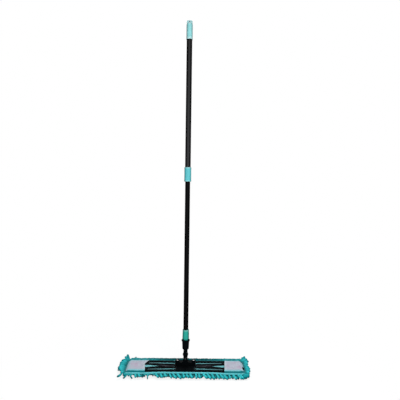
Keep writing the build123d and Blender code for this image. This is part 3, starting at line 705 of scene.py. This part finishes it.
def front_noodles(side):
    """The front fringe: an outer row, one between and behind it, and two rows in their shade."""
    pitch = 0.0185
    for x in even(0, row_half_length, pitch):
        x0 = side * x + jitter(0.0050)
        end_z = front_end_z(x0)
        sag = sag_at(x0, -half_depth)
        drop = 0.7 * sag
        curled = end_z > curled_above_z
        lean = jitter(0.010) if curled else draw(0.002, 0.014)
        out_y = (curled_out_y if curled else front_out_y) + jitter(0.0018)
        inner_y = out_y + front_gap
        yield noodle(
            (x0 - lean * 0.5, front_root_y, front_root_z - sag),
            (x0 + lean * 0.1, out_y - 0.001, front_bow_z - drop + jitter(0.0015)),
            (x0 + lean, inner_y if curled else out_y,
             min(end_z, front_top_z - drop) + draw(0, 0.0035)),
            0.62 if curled else draw(0.80, 1.00), shade=0.35 if curled else 0.0,
            taper=-0.1 if curled else -0.34, tones=(0.55, 1.0), late=1.4,
        )
        if curled:
            continue
        x0 += pitch / 2
        covered = front_end_z(x0 + pitch / 2) < curled_above_z
        # Its low tones, like its shade, are painted shade in the gaps between the outer noodles
        yield noodle(
            (x0 - lean * 0.4, front_root_y + front_gap, front_root_z - 0.0015 - sag),
            (x0, inner_y, front_top_z - drop),
            (x0 + lean + jitter(0.005), inner_y, end_z + draw(0.002, 0.005)),
            draw(0.80, 0.92), shade=0.50 if covered else 0.12,
            root_shade=0.50 if covered else 0.2, taper=-0.25, tones=(0.1, 0.6),
        )
    for root_y, out_y, shade in shaded_rows:
        for x in even(0, row_half_length, 0.0092):
            x0 = side * x + jitter(0.002)
            curled = front_end_z(x0) > curled_above_z
            pulled_y = out_y + (0.004 if curled else 0)
            end_z = 0.006 if curled else touch_z
            yield noodle(
                (x0, root_y, root_z),
                (x0 + jitter(0.003), pulled_y - 0.002, 0.0160),
                (x0 + 0.004 + jitter(0.005), pulled_y + jitter(0.002), end_z + draw(0, 0.003)),
                1.05, shade, mesh=plain_mesh,
            )


# The back fringe's level row: where it is rooted, bows and ends
back_root_y, back_root_z = half_depth + 0.0015, 0.0168
back_bow_y, back_bow_z = half_depth + 0.010, 0.0272
back_tip_y, back_tip_z = half_depth + 0.023, 0.0215


def back_noodles(side):
    """The back fringe: a close level row that stands out, and a drooping row under it."""
    for x in even(0, half_length - 0.002, 0.0074):
        x0 = side * x + jitter(0.001)
        yield noodle(
            (x0, back_root_y, back_root_z),
            (x0 + 0.004, back_bow_y, back_bow_z + jitter(0.0006)),
            (x0 + 0.011 + jitter(0.002), back_tip_y + jitter(0.0012), back_tip_z + jitter(0.0008)),
            draw(0.98, 1.08), 0.82 - 0.44 * smooth_step(0.08, 0.22, abs(x0)),
        )
    for x in even(0, row_half_length, 0.0118):
        x0 = side * x + jitter(0.002)
        yield noodle(
            (x0, half_depth - 0.007, root_z),
            (x0 + jitter(0.004), back_bow_y, 0.0150),
            (x0 + jitter(0.006), half_depth + draw(0.011, 0.019), touch_z + draw(0, 0.003)),
            1.0, 0.3,
        )


# How far the end fringe reaches past the cloth, from the front to the back of each end
end_reach = {
    -1: ((-0.056, -0.045, -0.033, -0.018, 0.0, 0.030, 0.056),
         (0.014, 0.021, 0.031, 0.041, 0.045, 0.043, 0.037)),
    1: ((-0.056, -0.040, -0.005, 0.012, 0.028, 0.042, 0.056),
        (0.019, 0.025, 0.030, 0.028, 0.024, 0.032, 0.034)),
}
# Where the end noodles gather in tufts
end_tufts = {-1: (-0.047, -0.024, 0.0, 0.025, 0.049), 1: (-0.048, -0.026, -0.004, 0.016, 0.049)}
tuft_half = 0.012
layer_lean = 2.2  # how far a tuft lies over towards the front for each metre of height
upright_z = 0.012  # the height from which that lean is counted
layer_row, curl_row = (-0.054, 0.058), (-0.050, 0.056)  # from the front to the back
curl_root_z, curl_bow_z = 0.0195, 0.0275
# The layers of the end fringe: heights of the roots, the arch and the tips, share of the reach,
# pitch and shade
end_layers = [
    (0.0158, 0.0285, 0.0140, 0.76, 0.0112, 0.0),
    (0.0145, 0.0205, 0.0085, 1.00, 0.0118, 0.0),
    (0.0135, 0.0110, lie_z, 0.90, 0.0118, 0.2),
]


def reach_at(side, y):
    """How far the end fringe reaches past the cloth at one place."""
    return np.interp(y, *end_reach[side])


def gather(side, y):
    """The way to the nearest tuft's middle, and how far off it is, from 0 to 1 between tufts."""
    way = min((middle - y for middle in end_tufts[side]), key=abs)
    return way, min(1.0, abs(way) / tuft_half)


def end_noodles(side):
    """The end fringe: three uneven layers, the top one arching over the tape, and curls on it."""

    def out_x(reach):
        return side * (half_length + reach)

    for start_z, rise_z, end_z, share, pitch, shade in end_layers:
        for y in even(*layer_row, pitch):
            y0 = y + jitter(0.0025)
            row_y = y0 + layer_lean * (end_z - upright_z)
            way, off = gather(side, row_y)
            swing = 0.7 * way + jitter(0.004)
            reach = reach_at(side, row_y) * share * (1.06 - 0.26 * off ** 2)
            reach *= draw(0.90, 1.02)
            yield noodle(
                (out_x(0.0015), y0, start_z),
                (out_x(reach * 0.5), y0 + swing * 0.4, rise_z + jitter(0.002)),
                (out_x(reach), y0 + swing, end_z + draw(0, 0.005)),
                draw(0.98, 1.22), shade + 0.28 * off ** 2, root_shade=0.6, tones=(0.5, 1.0),
                late=2.2,
            )
    for y in even(*curl_row, 0.0110):
        y0 = y + jitter(0.003)
        way, _ = gather(side, y0 + layer_lean * 0.004)
        swing = 0.9 * way + jitter(0.006)
        shares = np.array([draw(0.15, 0.40), draw(0.66, 0.94)])
        start, stop = reach_at(side, y0) * shares
        yield noodle(
            (out_x(start), y0, curl_root_z),
            (out_x((start + stop) / 2), y0 + swing * 0.9, curl_bow_z + jitter(0.003)),
            (out_x(stop), y0 + swing, draw(0.0130, 0.0195)),
            draw(0.98, 1.25), root_shade=0.3, tones=(0.3, 1.0), late=1.4,
        )


def corner_noodles(side):
    """A fan of noodles at each corner, which stands up a little at the back."""
    root_x = side * (half_length - 0.008)
    for edge in (-1, 1):
        at_back = edge > 0
        front_left = (side, edge) == (-1, -1)
        drawn_in = 0.6 if front_left else 1.0
        root_y = edge * (half_depth - 0.007)
        length = reach_at(side, edge * 0.05)
        for degrees in (10, 26, 42, 58, 74):
            turn = math.radians(degrees) + jitter(0.1)
            out_x = side * drawn_in * math.cos(turn) * (length + 0.006) * draw(0.85, 1.05)
            out_y = edge * drawn_in * math.sin(turn) * draw(0.022, 0.028)
            end_z = draw(0.016, 0.024) if at_back else lie_z
            yield noodle(
                (root_x, root_y, 0.0185 if at_back else 0.0120),
                (root_x + out_x * 0.6, root_y + out_y * 0.6, 0.030 if at_back else 0.020),
                (root_x + out_x, root_y + out_y, end_z),
                draw(1.0, 1.25), 0.3 if front_left else 0.05, 0.6 if at_back else 0.0,
            )


# Single noodles that stand away from the fringe: the middle, the tip, the size and the shade of
# those at the back corners, then the place, lean, end height and size of those at the front left
back_strays = {
    -1: [((-0.270, 0.070, 0.041), (-0.274, 0.0800, 0.0375), 1.1, 0.25),
         ((-0.276, 0.068, 0.034), (-0.284, 0.0770, 0.0290), 1.2, 0.0)],
    1: [((0.271, 0.070, 0.036), (0.2765, 0.0800, 0.0330), 1.2, 0.1),
        ((0.266, 0.068, 0.031), (0.2640, 0.0805, 0.0285), 1.2, 0.1),
        ((0.276, 0.062, 0.031), (0.2860, 0.0715, 0.0265), 1.2, 0.1)],
}
front_strays = [
    (-0.274, -0.016, 0.0130, 0.95), (-0.2480, -0.0155, 0.0055, 0.72),
    (-0.2385, 0.0155, 0.0050, 0.72), (-0.1598, 0.001, 0.0035, 0.55),
]


def stray_noodles(side):
    """Single noodles that stand away from the fringe."""
    corner = (side * row_half_length, half_depth - 0.004, 0.0215)
    for middle, tip, size, shade in back_strays[side]:
        yield noodle(corner, middle, tip, size, shade)
    if side > 0:
        return
    yield noodle((-0.236, 0.055, 0.0215), (-0.234, 0.070, 0.029), (-0.233, 0.0815, 0.0290),
                 0.6, 0.5)
    for x0, lean, end_z, size in front_strays:
        yield noodle((x0, -0.055, 0.0155), (x0 + lean * 0.15, -0.076, 0.0160),
                     (x0 + lean, -0.0800, end_z), size, 0.25)


def make_chenille(name, side):
    """All noodles of one half of the pad."""
    points, marks, faces, count = [], [], [], 0
    for fringe in (under_noodles, front_noodles, back_noodles, end_noodles, corner_noodles,
                   stray_noodles):
        for shell, shell_marks, counts in fringe(side):
            points.append(shell)
            marks.append(shell_marks)
            faces += tube_faces(*counts, count)
            count += len(shell)
    piece = new_piece(f"chenille_{name}", np.concatenate(points), faces)
    paint(piece, "noodle", np.concatenate(marks))
    return dress(piece, "chenille")


# Backing sheet: a thin felt with rounded outer corners, one half on each side of the middle

corner_radius = 0.009
corner_start_x = half_length - corner_radius
face_inset = 0.0002  # how far the felt's faces lie inside its solid


def half_depth_at(x):
    """Half the backing's depth at one station, which rounds its outer corners."""
    inside = np.clip(x - corner_start_x, 0, corner_radius)
    return half_depth - corner_radius + np.sqrt(corner_radius ** 2 - inside ** 2)


def make_backing(name, side):
    """A closed sheet with a slightly uneven face."""
    along = fold_stations(half_length, 0.006)
    rounding = 1 - np.sin(np.linspace(0, math.pi / 2, 7))
    along = np.r_[along[along < corner_start_x - 0.001], half_length - corner_radius * rounding]
    across = np.linspace(-1, 1, 25)
    x = np.repeat(along[:, None], len(across), 1)
    y = np.outer(half_depth_at(along), across)
    quilt = 0.00018 * np.sin(x * 310) * np.sin(y * 270)
    top = np.dstack([side * x, y, cloth_top - face_inset + quilt - sag_at(x, y)])
    under = np.dstack([side * x, y, cloth_bottom + face_inset - sag_at(x, y)])
    rows, columns = x.shape
    count = rows * columns
    faces = grid_faces(rows, columns) + flipped(grid_faces(rows, columns, first=count))
    index = np.arange(count).reshape(rows, columns).tolist()
    first_side, last_side = ([row[k] for row in index] for k in (0, -1))
    rim = first_side + index[-1][1:] + last_side[-2::-1] + index[0][-2:0:-1]
    faces += [(b, a, a + count, b + count) for a, b in zip(rim, rim[1:] + rim[:1])]
    points = np.r_[top.reshape(-1, 3), under.reshape(-1, 3)]
    piece = new_piece(f"backing_felt_{name}", points, flipped(faces, side < 0))
    return dress(piece, "backing")


# Edge tape: folded over the backing's edge, from the front's middle round the end to the back's

tape_thickness = 0.0007
tape_half_fold = 0.0021


def edge_line(side):
    """Points along the tape's line, their outward directions and the length up to each."""
    leg = fold_stations(corner_start_x, 0.0035)
    bend = np.linspace(0, math.pi / 2, 9)[1:]
    inner_y = half_depth - corner_radius
    front = [(x, -half_depth, 0, -1) for x in leg]
    front += [(corner_start_x + corner_radius * math.sin(a), -inner_y - corner_radius * math.cos(a),
               math.sin(a), -math.cos(a)) for a in bend]
    end = [(half_length, y, 1, 0) for y in np.linspace(-inner_y, inner_y, 28)[1:-1]]
    back = [(x, -y, out_x, -out_y) for x, y, out_x, out_y in reversed(front)]
    spots = np.array(front + end + back) * (side, 1, side, 1)
    return spots[:, :2], spots[:, 2:], lengths_along(spots[:, :2])


def make_edge_tape(name, side):
    """A tape folded over the edge, open towards the pad, with puckers between its stitches."""
    line, outward, run = edge_line(side)
    bend = np.linspace(0, math.pi, 9)
    out_share = np.r_[-1.0, -0.35, 0.25 + 0.75 * np.sin(bend), -0.35, -1.0]
    rise_share = np.r_[0.80, 0.95, np.cos(bend), -0.95, -0.80]
    pucker = (0.06 * np.sin(run * 1250) + 0.08 * np.sin(run * 270 + 1.3)
              + 0.06 * np.sin(run * 97 + side))
    out = 0.0002 + np.outer(1 + pucker, tape_half_fold * out_share)
    rise = np.outer(0.96 + 0.4 * pucker, tape_half_height * rise_share)
    line_x, line_y = line[:, 0, None], line[:, 1, None]
    points = np.dstack([
        line_x + out * outward[:, 0, None],
        line_y + out * outward[:, 1, None],
        tape_middle_z + rise - sag_at(line_x, line_y),
    ])
    return dress(cloth_piece(f"edge_tape_{name}", points, side < 0, tape_thickness), "binding")


# Seams: rows of single stitches, each a short thread that dips into the cloth at its ends


def make_seam(name, rows, pitch, thread_radius, finish):
    """One piece with the stitches of several rows, each a list of points on the cloth's face."""
    points, faces = [], []
    sides, rings = 6, 5
    turn = full_turn(sides)
    arch = np.sin(np.linspace(0, math.pi, rings))
    size = thread_radius * (0.6 + 0.4 * arch)
    for row in rows:
        run = lengths_along(row)
        for start in np.arange(pitch * 0.3, run[-1] - pitch * 0.7, pitch):
            along = start + np.linspace(0, pitch * 0.62, rings)
            line = np.column_stack([np.interp(along, run, row[:, k]) for k in range(3)])
            line[:, 2] += thread_radius * (1.5 * arch - 0.8)
            ahead = unit(line[-1] - line[0])
            aside = unit(np.cross(ahead, (0, 0, 1.0)))
            over = np.cross(ahead, aside)
            faces += tube_faces(rings, sides, len(points))
            points += [line[ring] + size[ring] * (math.cos(a) * aside + math.sin(a) * over)
                       for ring in range(rings) for a in turn]
    return dress(new_piece(name, points, faces), finish)


def edge_tape_rows(side):
    """The row of stitches on the tape's upper inner face."""
    line, outward, _ = edge_line(side)
    top = tape_middle_z + 0.9 * tape_half_height
    return [np.column_stack([line - 0.0012 * outward, top - 0.0002 - sag_at(*line.T)])]


# Pockets: a sheet over each wing's end, sewn down on three sides and open towards the middle

pocket_foot_z = cloth_top + 0.0010
pocket_face_z = pocket_top - 0.0009
pocket_half_depth = 0.0562
pocket_seam_y = 0.0551
pocket_thickness = 0.0011
hem_depth = 0.009
# The cloth rises from its foot to the wing's top: sideways, and inwards from its sewn outer edge
foot_y, flat_y = 0.0556, 0.0505
foot_inset, flat_inset = -0.0006, 0.0095
# Its unevenness, and the line along which it creases beside the seams
wave_height, crease_height, hem_height = 0.00021, 0.0003, 0.0005
crease_y, crease_spread = 0.0475, 0.004
# The open edge and the sewn outer edge of each pocket, from the front to the back
mouth_places = {
    "left": ((-0.055, 0.0185, 0.055), (0.1745, 0.1830, 0.1665)),
    "right": ((-0.055, 0.0, 0.055), (0.1715, 0.1755, 0.1795)),
}
end_places = {
    "left": ((-0.055, -0.044, 0.0, 0.055), (0.2550, 0.2570, 0.2590, 0.2585)),
    "right": ((-0.055, -0.046, -0.038, -0.030, -0.010, 0.026, 0.055),
              (0.2485, 0.2520, 0.2560, 0.2590, 0.2605, 0.2580, 0.2540)),
}
# The strips along each pocket's front and back, and how much wider they are at the outer corner
strip_inner_y, strip_outer_y = 0.0510, 0.0572
strip_thickness = 0.0005
strip_sweep = {("left", -1): 0.004, ("right", -1): 0.013, ("left", 1): 0.0, ("right", 1): 0.004}


def mouth_at(name, y):
    """The open edge of a pocket, which runs straight between a few places."""
    return np.interp(y, *mouth_places[name])


def end_at(name, y):
    """The sewn outer edge of a pocket."""
    return np.interp(y, *end_places[name])


def hem_share(name, x, y, soft):
    """1 on the doubled hem along a pocket's mouth, else 0, with a soft step between them."""
    return smooth_step(-soft, soft, hem_depth - (x - mouth_at(name, y)))


def pocket_face(name, x, y):
    """Height of the pocket's cloth at a place, x counted outwards."""
    side_rise = smooth_step(-foot_y, -flat_y, -np.abs(y))
    rise = side_rise * smooth_step(foot_inset, flat_inset, end_at(name, y) - x)
    waves = wave_height * (np.sin(x * 120 + y * 40) + np.sin(y * 95 - x * 60 + 1.0))
    by_seam = np.exp(-((np.abs(y) - crease_y) / crease_spread) ** 2)
    creases = crease_height * by_seam * np.sin(x * 420 + 3 * y)
    hem = hem_height * hem_share(name, x, y, 0.0004)
    height = pocket_face_z - pocket_foot_z + waves + creases + hem
    return pocket_foot_z + height * rise - sag_at(x, y)


def make_pocket(name, side):
    """The pocket's cloth, with its hem and its cyan cast marked on its points."""
    by_seam = np.linspace(0.0495, pocket_half_depth, 10)
    edge = np.r_[-by_seam[::-1], np.linspace(-0.0465, 0.0465, 32), by_seam]
    stretches = ((0, 0.098, 7), (0.11, 0.116, 3), (0.14, 0.82, 30), (0.84, 1.0, 12))
    share = np.concatenate([np.linspace(*stretch) for stretch in stretches])
    mouth = mouth_at(name, edge)
    end = end_at(name, edge) + 0.0012
    x = mouth + share[:, None] * (end - mouth)
    y = np.tile(edge, (len(share), 1))
    points = np.dstack([side * x, y, pocket_face(name, x, y)])
    piece = cloth_piece(f"pocket_cloth_{name}", points, side > 0, pocket_thickness)
    front = smooth_step(0.030, strip_inner_y, -y)
    back = 0.6 * smooth_step(0.036, strip_inner_y, y)
    outer = 0.45 * smooth_step(0.018, 0.003, end - x)
    cast = np.maximum(np.maximum(front, back), outer)
    for label, strength in (("hem", hem_share(name, x, y, 0.0005)), ("cast", cast)):
        paint(piece, label, np.repeat(strength.reshape(-1, 1), 4, 1))
    return dress(piece, "pocket")


def pocket_rows(name, side):
    """The two rows along the mouth's hem, and those along the sewn sides."""
    y = np.linspace(-0.050, 0.050, 80)
    lines = [(mouth_at(name, y) + inset, y) for inset in (0.0018, hem_depth - 0.0014)]
    for edge in (-pocket_seam_y, pocket_seam_y):
        x = np.linspace(mouth_at(name, edge) + 0.002, end_at(name, edge) - 0.007, 60)
        lines.append((x, np.full(60, edge)))
    y = np.linspace(strip_sweep[name, -1] - 0.046, 0.048 - strip_sweep[name, 1], 80)
    lines.append((end_at(name, y), y))
    return [np.column_stack([side * x, y, pocket_face(name, x, y) + 0.0001]) for x, y in lines]


def make_pocket_strip(name, side, edge):
    """A narrow teal strip over the pocket's foot, along its front or back and round the corner."""
    share = np.linspace(0, 1, 48)
    inner = strip_inner_y - strip_sweep[name, edge] * smooth_step(0.84, 1.0, share)
    across = np.outer(strip_outer_y - inner, np.linspace(0, 1, 16))
    y = edge * (inner[:, None] + across)
    mouth = mouth_at(name, y)
    x = mouth + share[:, None] * (end_at(name, y) + 0.0016 - mouth)
    z = pocket_face(name, x, y) + strip_thickness + 0.00015 * np.sin(x * 700)
    where = "front" if edge < 0 else "back"
    points = np.dstack([side * x, y, z])
    piece = cloth_piece(f"pocket_strip_{where}_{name}", points, side * edge > 0, strip_thickness)
    return dress(piece, "strip")


def make_stud(name, side):
    """The black oval stud on the right pocket's outer edge: a domed cap with a rolled rim."""
    centre_y = -0.0218
    centre_x = end_at(name, centre_y) - 0.0020
    stud_half_width, stud_half_length, crown = 0.0048, 0.0105, 0.0052
    # Share of the width and height above the cloth, from the foot to the dome
    profile = [(0.97, -0.0012), (1.0, 0.0022), (0.92, 0.0034), (0.78, 0.0034), (0.66, 0.0042),
               (0.35, 0.0050)]
    turn = full_turn(28)
    sides = len(turn)
    spots = [(centre_x + share * stud_half_width * math.cos(a),
              centre_y + share * stud_half_length * math.sin(a), height)
             for share, height in profile for a in turn]
    spots.append((centre_x, centre_y, crown))
    points = [(side * x, y, pocket_face(name, x, y) + height) for x, y, height in spots]
    faces = grid_faces(len(profile), sides, True)
    top = (len(profile) - 1) * sides
    faces += [(top + k, top + (k + 1) % sides, len(points) - 1) for k in range(sides)]
    faces.append(range(sides - 1, -1, -1))
    return dress(new_piece(f"pocket_stud_{name}", points, faces), "stud")


# The pad's pieces for each side; the pockets and what is on them are attached to their wing

for name, side in wing_sides.items():
    wing = f"{name}_wing"
    bend = {"start": (side * fold_start_x, 0, 0), "end": (side * fold_end_x, 0, 0)}
    chenille = make_chenille(name, side)
    backing = make_backing(name, side)
    tape = make_edge_tape(name, side)
    tape_seam = make_seam(f"edge_seam_{name}", edge_tape_rows(side), pitch=0.0046,
                          thread_radius=0.00042, finish="teal thread")
    for piece, slot in ((chenille, "chenille"), (backing, "backing_cloth"), (tape, "binding_cloth"),
                        (tape_seam, "binding_cloth")):
        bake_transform(piece)
    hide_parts(f"pile_{name}", "pile_middle")
    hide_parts(f"backing_{name}", "backing_middle")
    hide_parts(f"binding_{name}", "binding_middle")

    pocket = make_pocket(name, side)
    pocket_seam = make_seam(f"pocket_seam_{name}", pocket_rows(name, side), pitch=0.0040,
                            thread_radius=0.00040, finish="pale thread")
    on_pocket = [pocket_seam]
    if name == "right":
        on_pocket.append(make_stud(name, side))
    for edge in (-1, 1):
        on_pocket.append(make_pocket_strip(name, side, edge))
    for piece in [pocket, *on_pocket]:
        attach(piece, wing)
    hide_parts(f"{name}_pocket")

    edge_line(side)[2][-1]


# Stage: a white floor that keeps the shadow, soft lamps and the photograph's camera


def white_to_the_eye(tree):
    """1 for rays from the camera, a reflection or a glass, else 0."""
    path = add(tree, "LightPath")
    seen = path["Is Camera Ray"].calc("MAXIMUM", path["Is Glossy Ray"])
    return seen.calc("MAXIMUM", path["Is Transmission Ray"])


def make_floor():
    """White paper that shows the mop's shadow near it and glows farther out."""
    half, level = 9.0, -0.0006
    shadow_fade = (0.38, 0.85)  # how far from the middle the shadow starts to fade, and is gone
    corners = [(a * half, b * half, level) for a, b in ((-1, -1), (1, -1), (1, 1), (-1, 1))]
    floor = new_piece("floor", corners, [(0, 1, 2, 3)])
    material, tree = new_material("white floor")
    tree.nodes.clear()
    paper = add(tree, "BsdfDiffuse", {"Color": (0.80, 0.80, 0.80, 1)})[0]
    shaded = add(tree, "BsdfDiffuse", {"Color": (0.30, 0.30, 0.30, 1)})[0]
    glow = add(tree, "Emission", {"Strength": 0.78})[0]
    near = add(tree, "AddShader", {0: glow, 1: shaded})[0]
    far = add(tree, "Emission", {"Strength": 1.0})[0]
    away = add(tree, "VectorMath", {0: place(tree)}, operation="LENGTH")["Value"]
    seen = add(tree, "MixShader", {0: away.spread(*shadow_fade), 1: near, 2: far})[0]
    mixed = add(tree, "MixShader", {0: white_to_the_eye(tree), 1: paper, 2: seen})[0]
    add(tree, "OutputMaterial", {"Surface": mixed})
    floor.data.materials.append(material)


def make_world():
    """Dim light from all round, and white where the eye meets it."""
    world = bpy.data.worlds.new("studio")
    scene.world = world
    world.use_nodes = True
    tree = world.node_tree
    tree.nodes.clear()
    around = add(tree, "Background", {"Color": (0.95, 0.98, 1.0, 1), "Strength": 0.28})[0]
    white = add(tree, "Background", {"Color": (1, 1, 1, 1), "Strength": 1.0})[0]
    mixed = add(tree, "MixShader", {0: white_to_the_eye(tree), 1: around, 2: white})[0]
    add(tree, "OutputWorld", {"Surface": mixed})


def add_softbox(name, spot, target, width, height, power):
    """A rectangular lamp that looks at a target."""
    lamp = bpy.data.lights.new(name, "AREA")
    lamp.shape = "RECTANGLE"
    lamp.size = width
    lamp.size_y = height
    lamp.energy = power
    box = bpy.data.objects.new(name, lamp)
    box.location = spot
    box.rotation_mode = "QUATERNION"
    box.rotation_quaternion = (Vector(target) - Vector(spot)).to_track_quat("-Z", "Y")
    scene.collection.objects.link(box)


def make_camera():
    """The photograph's camera: its heading, dip and roll about its own axis."""
    heading, dip, roll = camera_turns
    level = Matrix.Rotation(-heading, 4, "Z") @ Matrix.Rotation(math.pi / 2 - dip, 4, "X")
    lens = bpy.data.cameras.new("photo camera")
    lens.sensor_width = sensor_mm
    lens.lens = focal_px / image_px * sensor_mm
    lens.clip_start = 0.05
    lens.clip_end = 60
    camera = bpy.data.objects.new("photo camera", lens)
    turned = level @ Matrix.Rotation(-roll, 4, "Z")
    camera.matrix_world = Matrix.Translation(camera_place) @ turned
    scene.collection.objects.link(camera)
    scene.camera = camera


make_floor()
make_world()
add_softbox("front softbox", (0.75, -2.6, 1.65), (0, 0, 0.9), width=1.4, height=1.3, power=50)
add_softbox("left softbox", (-2.4, -1.2, 2.0), (0, 0, 0.3), width=1.4, height=1.4, power=6)
add_softbox("top softbox", (0.3, 0.5, 3.1), (0, 0, 0), width=1.8, height=1.8, power=30)
make_camera()
scene.view_settings.view_transform = "Standard"
